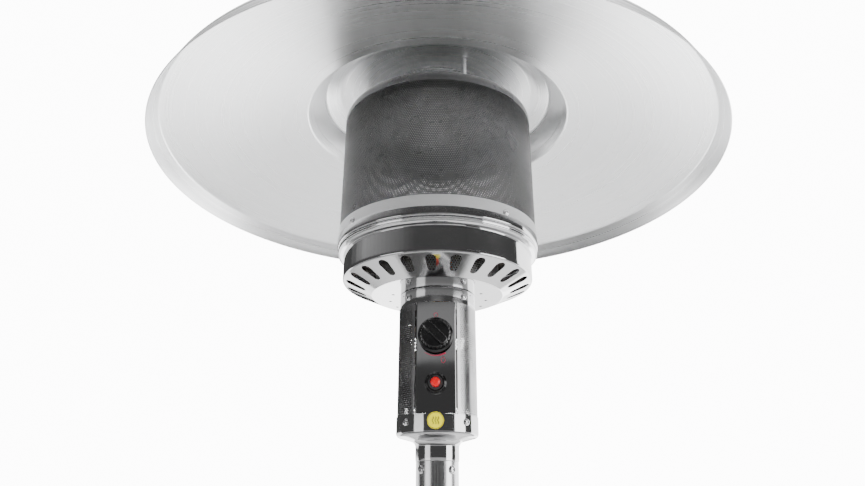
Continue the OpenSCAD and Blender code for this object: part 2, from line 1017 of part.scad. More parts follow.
module reflector() {
  edge_r = reflector_d / 2;
  step_z = disc_z - 49.5;
  lip_r = edge_r - 12.5;
  lip_z = rim_z + 25;
  dome_r = 197;
  dome_steps = 10;
  lean = 1.12;
  dome = [for (k = [1:dome_steps])
    let (part = k / dome_steps)
    [dome_r + (lip_r - dome_r) * part, step_z - (step_z - lip_z) * pow(part, lean), k < dome_steps ? 0 : 5]];
  color("#dfe0e1")
    difference() {
      spun(concat(
        [[0, disc_z, 0], [150, disc_z, 20], [173, disc_z - 12, 6], [dome_r, step_z, 6]],
        dome,
        [[edge_r - 4, rim_z + 6, 4], [edge_r - 1.1, rim_z, 0]]
      ), reflector_t);
      for (a = stud_angles)
        rotate([0, 0, a])
          translate([stud_r, 0, disc_z - 5])
            cylinder(r = 2.6, h = 10, $fn = small_fn);
    }
}

module wing_nuts() {
  z = disc_z + reflector_t;
  bore = 2.45;
  wing = [[3, 0], [6, 0], [11, 6], [12, 11], [9, 12], [6, 8], [3, 5]];
  color("#e4e4e4")
    for (a = stud_angles)
      rotate([0, 0, a])
        translate([stud_r, 0, z])
          difference() {
            union() {
              cylinder(r = 8, h = 1.2);
              translate([0, 0, 1])
                cylinder(r1 = 5.5, r2 = 4.5, h = 7);
              for (turn = [0, 180])
                rotate([0, 0, turn])
                  translate([0, 1.1, 1.2])
                    rotate([90, 0, 0])
                      linear_extrude(2.2)
                        polygon(wing);
            }
            translate([0, 0, -cut])
              cylinder(r = bore, h = 20, $fn = small_fn);
          }
}

base_edge_ring();
base_plate();
base_ballast();
leg(leg_angles[0]);  // leg_left
leg(leg_angles[1]);  // leg_right
leg(leg_angles[2]);  // leg_rear
base_bolts();
post_flange();
flange_bolts();
lower_post();
post_coupler();
upper_post();
post_screws();
housing_shell();
housing_cover();
housing_collar();
housing_rivets();
wheel_bracket();
wheel_axle();
axle_caps();
wheel_hub(-1);  // left_wheel_hub
wheel_tyre(-1);  // left_wheel_tyre
wheel_hub(1);  // right_wheel_hub
wheel_tyre(1);  // right_wheel_tyre
head_bottom_cap();
head_wrap();
front_panel();
label_disc();
head_top_cap();
head_screws();
gas_valve();
valve_bracket();
gas_inlet_fitting();
valve_rotor();
valve_stem();
knob_spring();
control_knob();
igniter_body();
igniter_bezel();
igniter_spring();
igniter_button();
tilt_switch();
main_gas_pipe();
injector();
pilot_tube();
pilot_hood();
thermocouple();
igniter_lead();
burner_bowl();
bowl_guard();
mixer_tube();
burner_deck();
burner_head();
emitter_base_ring();
base_ring_screws();
emitter_screen();
emitter_top_cap();
reflector_studs();
reflector();
wing_nuts();
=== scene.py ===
import json
import math

import bmesh
import bpy
from mathutils import Matrix, Vector


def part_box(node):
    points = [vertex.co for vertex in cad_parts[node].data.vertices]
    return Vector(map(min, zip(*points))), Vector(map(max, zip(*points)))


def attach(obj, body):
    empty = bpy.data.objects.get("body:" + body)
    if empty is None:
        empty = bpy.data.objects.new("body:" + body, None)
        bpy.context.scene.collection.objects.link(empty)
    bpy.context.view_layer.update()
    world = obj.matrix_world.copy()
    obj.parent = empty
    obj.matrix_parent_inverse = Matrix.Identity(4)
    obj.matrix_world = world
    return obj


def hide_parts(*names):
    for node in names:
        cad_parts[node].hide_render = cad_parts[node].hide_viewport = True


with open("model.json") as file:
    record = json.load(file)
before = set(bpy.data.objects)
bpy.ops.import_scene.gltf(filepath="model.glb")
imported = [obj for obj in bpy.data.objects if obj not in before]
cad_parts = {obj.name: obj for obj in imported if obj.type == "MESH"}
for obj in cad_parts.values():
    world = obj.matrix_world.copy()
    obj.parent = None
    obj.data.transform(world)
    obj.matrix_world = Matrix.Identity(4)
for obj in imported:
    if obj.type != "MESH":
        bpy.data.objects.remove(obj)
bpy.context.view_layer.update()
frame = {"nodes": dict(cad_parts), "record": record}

MM = 0.001
TURN = 2 * math.pi
FRONT = -math.pi / 2
SLOT_START = FRONT - math.radians(1.6)
CROSS = [math.radians(a) for a in (45, 135, 225, 315)]


# ---- places, in millimetres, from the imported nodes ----

def low(node):
    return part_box(node)[0].z / MM


def high(node):
    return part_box(node)[1].z / MM


def reach(node):
    """Largest distance of a node from the post's axis, for a round node."""
    return max(abs(v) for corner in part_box(node) for v in (corner.x, corner.y)) / MM


POST_TOP = high("upper_post")
POST_R = reach("upper_post")
WRAP_Z0 = high("head_bottom_cap")
WRAP_Z1 = high("head_wrap")
WRAP_R = 52.3
BAND_R = 53.2
PLATE_Z = high("head_top_cap") + 0.2
BOWL_TOP = high("burner_bowl")
RING_R = 142.2
BEAD_R = 140.6
DRUM_R = 132.0
PLATE_HOLES = ((77, 62), (105, 70), (128, 77))
PLATE_HOLE_R = 2.2
RING_TOP = high("emitter_base_ring")
SCREEN_R = 140.0
SCREEN_TOP = high("emitter_screen")
CAP_TOP = high("emitter_top_cap")
PANEL_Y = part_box("front_panel")[0].y / MM
KNOB_Z = (low("control_knob") + high("control_knob")) / 2
IGNITER_Z = (low("igniter_bezel") + high("igniter_bezel")) / 2


# ---- materials ----

def nodes_of(name, color, metallic, roughness, **sockets):
    """A Principled material, its nodes, its links and its shader."""
    mat = bpy.data.materials.new(name)
    mat.use_nodes = True
    tree = mat.node_tree
    shader = tree.nodes["Principled BSDF"]
    shader.inputs["Base Color"].default_value = (*color, 1)
    shader.inputs["Metallic"].default_value = metallic
    shader.inputs["Roughness"].default_value = roughness
    for socket, value in sockets.items():
        shader.inputs[socket.replace("_", " ")].default_value = value
    return mat, tree.nodes, tree.links, shader


def noise(nodes, links, scale, detail=3.0, stretch=(1, 1, 1), source="Object"):
    coord = nodes.new("ShaderNodeTexCoord")
    mapping = nodes.new("ShaderNodeMapping")
    mapping.inputs["Scale"].default_value = stretch
    tex = nodes.new("ShaderNodeTexNoise")
    tex.inputs["Scale"].default_value = scale
    tex.inputs["Detail"].default_value = detail
    links.new(coord.outputs[source], mapping.inputs["Vector"])
    links.new(mapping.outputs["Vector"], tex.inputs["Vector"])
    return tex.outputs["Fac"]


def spread(nodes, links, value, lowest, highest, start=0.3, end=0.7):
    ramp = nodes.new("ShaderNodeMapRange")
    ramp.inputs["From Min"].default_value = start
    ramp.inputs["From Max"].default_value = end
    ramp.inputs["To Min"].default_value = lowest
    ramp.inputs["To Max"].default_value = highest
    links.new(value, ramp.inputs["Value"])
    return ramp.outputs["Result"]


def bump(nodes, links, shader, height, distance, strength=1.0, before=None):
    node = nodes.new("ShaderNodeBump")
    node.inputs["Strength"].default_value = strength
    node.inputs["Distance"].default_value = distance
    links.new(height, node.inputs["Height"])
    if before is not None:
        links.new(before, node.inputs["Normal"])
    links.new(node.outputs["Normal"], shader.inputs["Normal"])
    return node.outputs["Normal"]


def tint(nodes, links, shader, value, first, second):
    mix = nodes.new("ShaderNodeMix")
    mix.data_type = "RGBA"
    mix.inputs["A"].default_value = (*first, 1)
    mix.inputs["B"].default_value = (*second, 1)
    links.new(value, mix.inputs["Factor"])
    links.new(mix.outputs["Result"], shader.inputs["Base Color"])


def radius_of(nodes, links):
    """Distance from the Z axis."""
    coord = nodes.new("ShaderNodeTexCoord")
    flat = nodes.new("ShaderNodeVectorMath")
    flat.operation = "MULTIPLY"
    flat.inputs[1].default_value = (1, 1, 0)
    length = nodes.new("ShaderNodeVectorMath")
    length.operation = "LENGTH"
    links.new(coord.outputs["Object"], flat.inputs[0])
    links.new(flat.outputs["Vector"], length.inputs[0])
    return length.outputs["Value"]


def line_noise(nodes, links, value, scale, detail=2.0):
    """Noise along one value, such as the radius: the marks of a turning tool."""
    tex = nodes.new("ShaderNodeTexNoise")
    tex.noise_dimensions = "1D"
    tex.inputs["Scale"].default_value = scale
    tex.inputs["Detail"].default_value = detail
    links.new(value, tex.inputs["W"])
    return tex.outputs["Fac"]


def around_z(nodes, links, shader):
    tangent = nodes.new("ShaderNodeTangent")
    tangent.direction_type = "RADIAL"
    tangent.axis = "Z"
    links.new(tangent.outputs["Tangent"], shader.inputs["Tangent"])


def spun_aluminium():
    mat, nodes, links, shader = nodes_of("spun_aluminium", (0.88, 0.885, 0.89), 1, 0.3, Anisotropic=0.7)
    around_z(nodes, links, shader)
    radius = radius_of(nodes, links)
    rings = line_noise(nodes, links, radius, 420, 3)
    links.new(spread(nodes, links, rings, 0.27, 0.31), shader.inputs["Roughness"])
    grooves = nodes.new("ShaderNodeMath")
    grooves.operation = "PINGPONG"
    grooves.inputs[1].default_value = 0.0021
    links.new(radius, grooves.inputs[0])
    bump(nodes, links, shader, spread(nodes, links, grooves.outputs[0], 0, 1, 0, 0.0021), 0.00003)
    return mat


def polished(name, color, roughness, waviness=0.00025, smudge=0.06):
    """Mirror-finished sheet: faint smudges, and the slight waves of thin pressed metal."""
    mat, nodes, links, shader = nodes_of(name, color, 1, roughness)
    smudges = noise(nodes, links, 26, 5)
    links.new(spread(nodes, links, smudges, roughness, roughness + smudge), shader.inputs["Roughness"])
    waves = noise(nodes, links, 14, 1)
    bump(nodes, links, shader, waves, waviness, 0.4)
    return mat


def brushed(name, color, roughness, stretch, depth=0.00006, anisotropic=0.5):
    """Sheet with fine brush lines: stretch gives the grain's scale along each axis."""
    mat, nodes, links, shader = nodes_of(name, color, 1, roughness, Anisotropic=anisotropic)
    around_z(nodes, links, shader)
    grain = noise(nodes, links, 1, 3, stretch)
    cloud = noise(nodes, links, 7, 4)
    both = nodes.new("ShaderNodeMath")
    both.operation = "ADD"
    links.new(spread(nodes, links, grain, -0.04, 0.05), both.inputs[0])
    links.new(spread(nodes, links, cloud, roughness - 0.02, roughness + 0.05), both.inputs[1])
    links.new(both.outputs["Value"], shader.inputs["Roughness"])
    bump(nodes, links, shader, grain, depth, 0.5)
    return mat


def worn_metal(name, color, worn, roughness, scale=60, depth=0.0001):
    mat, nodes, links, shader = nodes_of(name, color, 1, roughness)
    patches = noise(nodes, links, scale, 6)
    tint(nodes, links, shader, spread(nodes, links, patches, 0, 1), color, worn)
    links.new(spread(nodes, links, patches, roughness - 0.08, roughness + 0.12), shader.inputs["Roughness"])
    bump(nodes, links, shader, noise(nodes, links, scale * 5, 4), depth, 0.5)
    return mat


def moulded(name, color, roughness, grain=900, depth=0.00004, **sockets):
    """Plastic or rubber with a fine moulded grain and slightly uneven gloss."""
    mat, nodes, links, shader = nodes_of(name, color, 0, roughness, **sockets)
    cloud = noise(nodes, links, 40, 4)
    links.new(spread(nodes, links, cloud, roughness - 0.05, roughness + 0.1), shader.inputs["Roughness"])
    lighter = tuple(min(1, c * 1.25 + 0.004) for c in color)
    tint(nodes, links, shader, spread(nodes, links, cloud, 0, 1), color, lighter)
    bump(nodes, links, shader, noise(nodes, links, grain, 2), depth, 0.6)
    return mat


ALUMINIUM = spun_aluminium()
CHROME = polished("polished_stainless", (0.58, 0.58, 0.585), 0.06)
BRIGHT = polished("bright_fastener", (0.82, 0.82, 0.83), 0.16, 0.00005, 0.1)
EMITTER = worn_metal("emitter_steel", (0.17, 0.17, 0.174), (0.155, 0.155, 0.153), 0.3, 12, 0.00003)
CAP_STEEL = polished("emitter_cap_steel", (0.36, 0.36, 0.365), 0.24, 0.0002, 0.1)
MESH = worn_metal("head_mesh_steel", (0.5, 0.5, 0.505), (0.45, 0.45, 0.455), 0.22, 20, 0.00002)
GUARD = worn_metal("guard_steel", (0.66, 0.66, 0.65), (0.52, 0.52, 0.51), 0.6, 30, 0.00004)
PANEL = polished("panel_steel", (0.42, 0.42, 0.425), 0.05, 0.00002, 0.03)
POST = brushed("post_steel", (0.72, 0.72, 0.73), 0.2, (900, 900, 14), 0.00003, 0.3)
HOUSING = brushed("housing_steel", (0.74, 0.74, 0.75), 0.26, (14, 14, 900))
ZINC = worn_metal("zinc_steel", (0.58, 0.59, 0.60), (0.44, 0.45, 0.46), 0.42)
BURNT = worn_metal("burner_steel", (0.42, 0.37, 0.32), (0.24, 0.22, 0.24), 0.45, 35)
IRON = worn_metal("ballast_iron", (0.09, 0.088, 0.085), (0.05, 0.045, 0.042), 0.75, 90, 0.0006)
BRASS = worn_metal("brass", (0.56, 0.45, 0.27), (0.42, 0.33, 0.2), 0.34)
COPPER = worn_metal("copper_tube", (0.78, 0.45, 0.29), (0.52, 0.27, 0.17), 0.32)
SPRING = worn_metal("spring_steel", (0.62, 0.62, 0.62), (0.48, 0.48, 0.5), 0.3)
RUBBER = moulded("edge_rubber", (0.022, 0.022, 0.022), 0.72)
TYRE = moulded("tyre_rubber", (0.026, 0.026, 0.027), 0.8)
PLASTIC = moulded("black_plastic", (0.028, 0.028, 0.029), 0.5)
WHEEL = moulded("wheel_plastic", (0.035, 0.035, 0.037), 0.48)
KNOB = moulded("knob_plastic", (0.004, 0.004, 0.0042), 0.2, 700, 0.00001)
RED = moulded("red_plastic", (0.62, 0.002, 0.006), 0.2, 300, 0.00001)
YELLOW = moulded("label_yellow", (1.0, 0.74, 0.0), 0.4, 500, 0.00001, Specular_IOR_Level=0.2)
BEZEL = moulded("bezel_plastic", (0.005, 0.005, 0.005), 0.12, 400, 0.00001)
INK = moulded("mark_ink", (0.03, 0.03, 0.03), 0.5, 500, 0.00001)
RED_INK = moulded("mark_red_ink", (0.30, 0.02, 0.05), 0.5, 500, 0.00001)
LEAD = moulded("lead_silicone", (0.06, 0.055, 0.055), 0.45)

SLOT_MATERIAL = {
    "reflector_aluminium": ALUMINIUM, "polished_stainless": CHROME, "emitter_steel": EMITTER,
    "head_mesh_steel": MESH, "panel_steel": PANEL, "post_steel": POST, "housing_steel": HOUSING,
    "fastener_steel": BRIGHT, "zinc_steel": ZINC, "burner_steel": BURNT, "ballast_iron": IRON,
    "edge_rubber": RUBBER, "black_plastic": PLASTIC, "knob_plastic": KNOB, "red_plastic": RED,
    "label_yellow": YELLOW, "brass": BRASS, "copper_tube": COPPER, "spring_steel": SPRING,
    "lead_silicone": LEAD, "wheel_plastic": WHEEL, "tyre_rubber": TYRE,
}


def finish_cad_nodes():
    """Every CAD node that stays gets its slot's material."""
    slots = {s["node"]: s["material_slot"] for s in frame["record"]["subparts"]}
    for name, node in frame["nodes"].items():
        node.data.materials.clear()
        node.data.materials.append(SLOT_MATERIAL[slots[name]])


BODY_OF = {n: b for b, ns in frame["record"]["behaviour"]["bodies"].items() for n in ns}


# ---- outlines ----

def corner(points, i, steps):
    """Corner i of a path of (r, z, radius) points, as an arc."""
    here = Vector(points[i][:2])
    turn = points[i][2] if 0 < i < len(points) - 1 else 0
    if not turn:
        return [here]
    a = (Vector(points[i - 1][:2]) - here).normalized()
    b = (Vector(points[i + 1][:2]) - here).normalized()
    half = math.acos(max(-1, min(1, a.dot(b)))) / 2
    middle = here + (a + b).normalized() * turn / math.sin(half)
    start = here + a * turn / math.tan(half) - middle
    end = here + b * turn / math.tan(half) - middle
    return [middle + turn * start.lerp(end, k / steps).normalized() for k in range(steps + 1)]


def rounded(points, steps=8):
    return [p for i in range(len(points)) for p in corner(points, i, steps)]


def left_of(a, b):
    d = (b - a).normalized()
    return Vector((-d.y, d.x))


def sheet(path, t):
    """Outline of a sheet t thick, to the left of an open path."""
    inner = []
    for i, p in enumerate(path):
        a = left_of(path[i - 1], p) if i else left_of(p, path[1])
        b = left_of(p, path[i + 1]) if i < len(path) - 1 else a
        inner.append(p + (a + b) * t / (1 + a.dot(b)))
    return path + inner[::-1]


def denser(path, longest):
    """The same path with no step longer than longest."""
    out = [path[0]]
    for a, b in zip(path, path[1:]):
        count = max(1, math.ceil((b - a).length / longest))
        out += [a.lerp(b, k / count) for k in range(1, count + 1)]
    return out


# ---- meshes ----

def mesh_object(name, verts, faces, mat, sharp=35):
    """An object from points in millimetres, smooth except where it turns by more than sharp degrees."""
    mesh = bpy.data.meshes.new(name)
    mesh.from_pydata([tuple(c * MM for c in v) for v in verts], [], faces)
    mesh.validate()
    obj = bpy.data.objects.new(name, mesh)
    bpy.context.scene.collection.objects.link(obj)
    tidy(obj, sharp)
    mesh.materials.append(mat)
    return obj


def tidy(obj, sharp=35):
    """Joins doubled points, turns the faces outwards and sets the sharp edges."""
    bm = bmesh.new()
    bm.from_mesh(obj.data)
    bmesh.ops.remove_doubles(bm, verts=bm.verts, dist=1e-6)
    bmesh.ops.recalc_face_normals(bm, faces=bm.faces)
    bm.to_mesh(obj.data)
    bm.free()
    obj.data.shade_smooth()
    obj.data.set_sharp_from_angle(angle=math.radians(sharp))


def lathe(name, outline, mat, segments=160, start=0.0, sweep=TURN, sharp=35):
    """A closed outline of (r, z) turned round the Z axis."""
    full = abs(sweep - TURN) < 1e-6
    rings = segments if full else segments + 1
    verts = []
    for k in range(rings):
        a = start + sweep * k / segments
        verts += [(p.x * math.cos(a), p.x * math.sin(a), p.y) for p in outline]
    n = len(outline)
    faces = []
    for k in range(segments):
        a, b = k * n, (k + 1) % rings * n
        faces += [(a + i, b + i, b + (i + 1) % n, a + (i + 1) % n) for i in range(n)]
    if not full:
        faces += [tuple(range(n))[::-1], tuple((rings - 1) * n + i for i in range(n))]
    return mesh_object(name, verts, faces, mat, sharp)


def spun(name, path, thickness, mat, longest=1e9, segments=160, steps=8):
    return lathe(name, sheet(denser(rounded(path, steps), longest), thickness), mat, segments)


def loft(name, loops, mat, sharp=35):
    """Loops of the same number of points joined in a row, closed at both ends."""
    n = len(loops[0])
    verts = [p for loop in loops for p in loop]
    faces = []
    for k in range(len(loops) - 1):
        a, b = k * n, (k + 1) * n
        faces += [(a + i, a + (i + 1) % n, b + (i + 1) % n, b + i) for i in range(n)]
    faces += [tuple(range(n))[::-1], tuple((len(loops) - 1) * n + i for i in range(n))]
    return mesh_object(name, verts, faces, mat, sharp)


def copies(name, obj, matrices):
    """One object of several copies of obj, which goes."""
    bm = bmesh.new()
    for matrix in matrices:
        part = obj.data.copy()
        part.transform(matrix)
        bm.from_mesh(part)
        bpy.data.meshes.remove(part)
    mesh = bpy.data.meshes.new(name)
    bm.to_mesh(mesh)
    bm.free()
    mesh.materials.append(obj.data.materials[0])
    out = bpy.data.objects.new(name, mesh)
    bpy.context.scene.collection.objects.link(out)
    bpy.data.objects.remove(obj)
    out.data.set_sharp_from_angle(angle=math.radians(35))
    return out


def cut(obj, cutter, sharp=35):
    """Cuts cutter's shape out of obj."""
    bpy.context.view_layer.update()
    modifier = obj.modifiers.new("cut", "BOOLEAN")
    modifier.operation = "DIFFERENCE"
    modifier.solver = "EXACT"
    modifier.object = cutter
    graph = bpy.context.evaluated_depsgraph_get()
    mesh = bpy.data.meshes.new_from_object(obj.evaluated_get(graph))
    obj.modifiers.clear()
    obj.data = mesh
    bpy.data.objects.remove(cutter)
    tidy(obj, sharp)
    return obj


def place(obj, *cad):
    """obj stands for the CAD nodes, on their body, and the CAD nodes are hidden."""
    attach(obj, BODY_OF[cad[0]])
    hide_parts(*cad)
    return obj


def beside(obj, cad):
    """obj is detail on a CAD node: it rides on that node's body."""
    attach(obj, BODY_OF[cad])
    return obj


# ---- perforated sheet ----

def perforated(name, r, t, z0, z1, pitch, hole, a0, a1, mat):
    """Rolled sheet with round holes in staggered rows, from angle a0 to a1, as hexagonal cells."""
    rows = max(1, round((z1 - z0) / (pitch * math.sqrt(3) / 2)))
    step_z = (z1 - z0) / rows
    cols = max(1, round((a1 - a0) * r / pitch))
    step_a = (a1 - a0) / cols
    corners = [math.pi / 6 + k * math.pi / 3 for k in range(6)]
    verts = []
    faces = []
    shared = {}

    def point(column, z, radius):
        key = (round(column * 6), round(z * 20), radius)
        if key not in shared:
            a = a0 + column * step_a
            shared[key] = len(verts)
            verts.append((radius * math.cos(a), radius * math.sin(a), z))
        return shared[key]

    for row in range(rows):
        for col in range(cols):
            middle = col + 0.5 + 0.5 * (row % 2)
            z = z0 + (row + 0.5) * step_z
            rims = []
            for radius in (r, r - t):
                cell = [
                    point(middle + math.cos(c) / math.sqrt(3), z + math.sin(c) * step_z * 2 / 3, radius)
                    for c in corners
                ]
                first = len(verts)
                for c in corners:
                    a = a0 + (middle + math.cos(c) * hole / pitch / 2) * step_a
                    verts.append((radius * math.cos(a), radius * math.sin(a), z + math.sin(c) * hole / 2))
                rim = list(range(first, first + 6))
                ring = [(cell[k], cell[(k + 1) % 6], rim[(k + 1) % 6], rim[k]) for k in range(6)]
                faces += ring if radius == r else [f[::-1] for f in ring]
                rims.append(rim)
            faces += [(rims[0][k], rims[0][(k + 1) % 6], rims[1][(k + 1) % 6], rims[1][k]) for k in range(6)]
    mesh = bpy.data.meshes.new(name)
    mesh.from_pydata([tuple(c * MM for c in v) for v in verts], [], faces)
    mesh.validate()
    mesh.materials.append(mat)
    obj = bpy.data.objects.new(name, mesh)
    bpy.context.scene.collection.objects.link(obj)
    mesh.shade_smooth()
    mesh.set_sharp_from_angle(angle=math.radians(40))
    return obj


# ---- camera, floor and light ----

def camera():
    """Low in front of the head, looking up under the reflector."""
    eye_z, distance, side, pitch, off_axis = 1.620, 0.873, 2.4, 21.64, 0.39
    cam = bpy.data.objects.new("camera", bpy.data.cameras.new("camera"))
    bpy.context.scene.collection.objects.link(cam)
    turn = math.radians(side)
    cam.location = (distance * math.sin(turn), -distance * math.cos(turn), eye_z)
    cam.rotation_euler = (math.radians(90 + pitch), math.radians(-0.2), turn + math.radians(off_axis))
    cam.data.sensor_width = 36
    cam.data.lens = 27.15
    cam.data.clip_start = 0.02
    bpy.context.scene.camera = cam


def soft_box(name, azimuth, distance, z0, z1, width, radiance, mirrored_only=False):
    """A lit panel facing the heater. Azimuth 0 is the camera's side and 90 is the right of the view."""
    turn = math.radians(azimuth)
    height = z1 - z0
    data = bpy.data.lights.new(name, "AREA")
    data.shape = "RECTANGLE"
    data.size, data.size_y = width, height
    data.energy = radiance * math.pi * width * height
    obj = bpy.data.objects.new(name, data)
    bpy.context.scene.collection.objects.link(obj)
    obj.location = (distance * math.sin(turn), -distance * math.cos(turn), (z0 + z1) / 2)
    obj.rotation_euler = (math.radians(90), 0, turn)
    obj.visible_camera = False
    obj.visible_diffuse = not mirrored_only


def overhead(width, x, y, z, back, right, spread_angle, radiance):
    """A small lamp high in front, leaning towards the floor behind and right of the heater."""
    data = bpy.data.lights.new("overhead", "AREA")
    data.size = width
    data.spread = math.radians(spread_angle)
    data.energy = radiance * math.pi * width * width
    obj = bpy.data.objects.new("overhead", data)
    bpy.context.scene.collection.objects.link(obj)
    obj.location = (x, y, z)
    obj.rotation_euler = (math.radians(back), -math.radians(right), 0)
    obj.visible_camera = False


def head_lamp():
    """Lights the label, the button and the marks from in front, without a reflection of its own."""
    data = bpy.data.lights.new("head_lamp", "SPOT")
    data.spot_size = math.radians(11)
    data.spot_blend = 0.6
    data.shadow_soft_size = 0.12
    data.energy = 300
    obj = bpy.data.objects.new("head_lamp", data)
    bpy.context.scene.collection.objects.link(obj)
    obj.location = (0.5, -2.4, 1.0)
    aim = Vector((0, 0, WRAP_Z0 * MM)) - obj.location
    obj.rotation_euler = aim.to_track_quat("-Z", "Y").to_euler()
    obj.visible_camera = False
    obj.visible_glossy = False


def backdrop():
    """A white dome that only the camera sees, so that the metal keeps its dark reflections."""
    angles = [math.radians(a) for a in range(0, 91, 3)]
    path = [Vector((STAGE_R * math.cos(a), STAGE_R * math.sin(a))) for a in angles]
    path[0].y = -20
    path[-1].x = 0
    dome = lathe("backdrop", sheet(path, 10), WHITE, 96)
    for flag in ("diffuse", "glossy", "transmission", "volume_scatter", "shadow"):
        setattr(dome, "visible_" + flag, False)
    return dome


def studio():
    outline = [Vector((0, -0.5)), Vector((STAGE_R, -0.5)), Vector((STAGE_R, -20)), Vector((0, -20))]
    lathe("floor", outline, FLOOR, 96)
    backdrop()
    overhead(0.25, 0.13, -0.76, 5.2, 34, 8, 104, 1300)
    soft_box("right_front", 68, 3.0, 1.0, 2.7, 1.8, 5, True)
    soft_box("right_fill", 68, 3.0, 1.0, 2.7, 0.6, 3)
    soft_box("right_rear", 142, 3.6, 0.2, 3.9, 4.4, 4, True)
    soft_box("left_front", -50, 3.0, 0.8, 2.1, 1.5, 2, True)
    for k in range(12):
        soft_box("left", -100 + 6 * k, 3.0 + 0.01 * k, 2.95, 3.9, 1.0, 0.13 - 0.01 * k, True)
    soft_box("left_edge", -112, 3.0, 2.95, 3.9, 0.9, 0.08, True)
    soft_box("left_rear", -145, 3.6, 0.2, 1.9, 4.0, 2.5, True)
    soft_box("rear_low", 180, 3.9, 0.1, 1.3, 3.0, 2.0, True)
    soft_box("front", 2, 3.2, 2.42, 2.8, 2.4, 0.35)
    head_lamp()
    world = bpy.data.worlds.new("studio")
    bpy.context.scene.world = world
    world.use_nodes = True
    back = world.node_tree.nodes["Background"]
    back.inputs["Color"].default_value = (1, 1, 1, 1)
    back.inputs["Strength"].default_value = 0.09


def painted_floor_glow(mat, behind, far):
    """Painted light: emission makes the floor glow behind and right of the heater, and far from it on every
    side; there is no glow in front of the heater or close round it.
    """
    nodes, links = mat.node_tree.nodes, mat.node_tree.links
    shader = nodes["Principled BSDF"]
    shader.inputs["Emission Color"].default_value = (1, 1, 1, 1)
    coord = nodes.new("ShaderNodeTexCoord")
    along = nodes.new("ShaderNodeVectorMath")
    along.operation = "DOT_PRODUCT"
    along.inputs[1].default_value = (0.6, 1, 0)
    links.new(coord.outputs["Object"], along.inputs[0])
    both = nodes.new("ShaderNodeMath")
    both.operation = "ADD"
    # Painted light: the glow grows towards the floor behind and right of the heater.
    links.new(spread(nodes, links, along.outputs["Value"], 0, behind, 2.4, 5), both.inputs[0])
    links.new(spread(nodes, links, radius_of(nodes, links), 0, far, 4, 8), both.inputs[1])
    links.new(both.outputs["Value"], shader.inputs["Emission Strength"])
    return mat


STAGE_R = 14000
# The pale floor carries painted light: its emission, not a lamp, brightens the floor behind, right of and far
# from the heater.
FLOOR = painted_floor_glow(moulded("pale_floor", (0.80, 0.80, 0.80), 0.7, 9, 0.0002), 0.4, 0.6)
WHITE = nodes_of("white_backdrop", (1, 1, 1), 0, 1, Emission_Color=(1, 1, 1, 1), Emission_Strength=12)[0]
finish_cad_nodes()
camera()
studio()


# ---- reflector and emitter ----

def reflector():
    disc = high("reflector") - 1.2
    step = disc - 49.5
    rim = disc - 137
    edge = reach("reflector")
    lip_r, lip_z, dome_r, count = edge - 12.5, rim + 25, 197, 24
    dome = [
        (dome_r + (lip_r - dome_r) * k / count, step - (step - lip_z) * (k / count) ** 1.12, 5 * (k == count))
        for k in range(1, count + 1)
    ]
    path = [(0, disc, 0), (150, disc, 20), (173, disc - 12, 6), (dome_r, step, 6)] + dome
    path += [(edge - 4, rim + 6, 4), (edge - 1.1, rim, 0)]
    place(spun("reflector", path, 1.2, ALUMINIUM, 12, 256), "reflector")


def emitter():
    z0, z1 = RING_TOP - 6, SCREEN_TOP
    quarters = 4
    first = None
    for k in range(quarters):
        a0 = FRONT + TURN * (k - 0.5) / quarters
        a1 = a0 + TURN / quarters
        part = perforated(f"emitter_screen_{k + 1}", SCREEN_R, 0.8, z0, z1 - 1, 3.0, 2.0, a0, a1, EMITTER)
        if first is None:
            first = place(part, "emitter_screen")
        else:
            beside(part, "emitter_screen")
    band = [Vector((SCREEN_R, low("emitter_screen"))), Vector((SCREEN_R, z0 + 1))]
    beside(lathe("emitter_screen_foot", sheet(band, 0.8), EMITTER, 192), "emitter_screen")
    inner = SCREEN_R - 1.1
    cap = [
        (inner, SCREEN_TOP - 12, 0), (inner, SCREEN_TOP + 0.4, 0), (SCREEN_R + 0.2, SCREEN_TOP + 0.4, 0.4),
        (SCREEN_R + 0.2, CAP_TOP, 12), (0, CAP_TOP, 0),
    ]
    place(spun("emitter_top_cap", cap, 0.8, CAP_STEEL, 20, 192), "emitter_top_cap")


def base_ring():
    z0, z1 = low("emitter_base_ring"), RING_TOP
    path = [(DRUM_R, z0, 0), (RING_R - 0.5, z0, 2.5), (RING_R - 0.1, z0 + 12, 5), (RING_R - 0.9, z1, 0)]
    place(spun("emitter_base_ring", path, 0.8, CHROME, 6, 192), "emitter_base_ring")


def teardrop(wide, narrow, outer, inner, steps=10):
    lean = math.asin((wide - narrow) / (outer - inner))
    out = []
    for k in range(steps + 1):
        a = -math.pi / 2 - lean + k * (math.pi + 2 * lean) / steps
        out.append((outer + wide * math.cos(a), wide * math.sin(a)))
    for k in range(steps + 1):
        a = math.pi / 2 + lean + k * (math.pi - 2 * lean) / steps
        out.append((inner + narrow * math.cos(a), narrow * math.sin(a)))
    return out


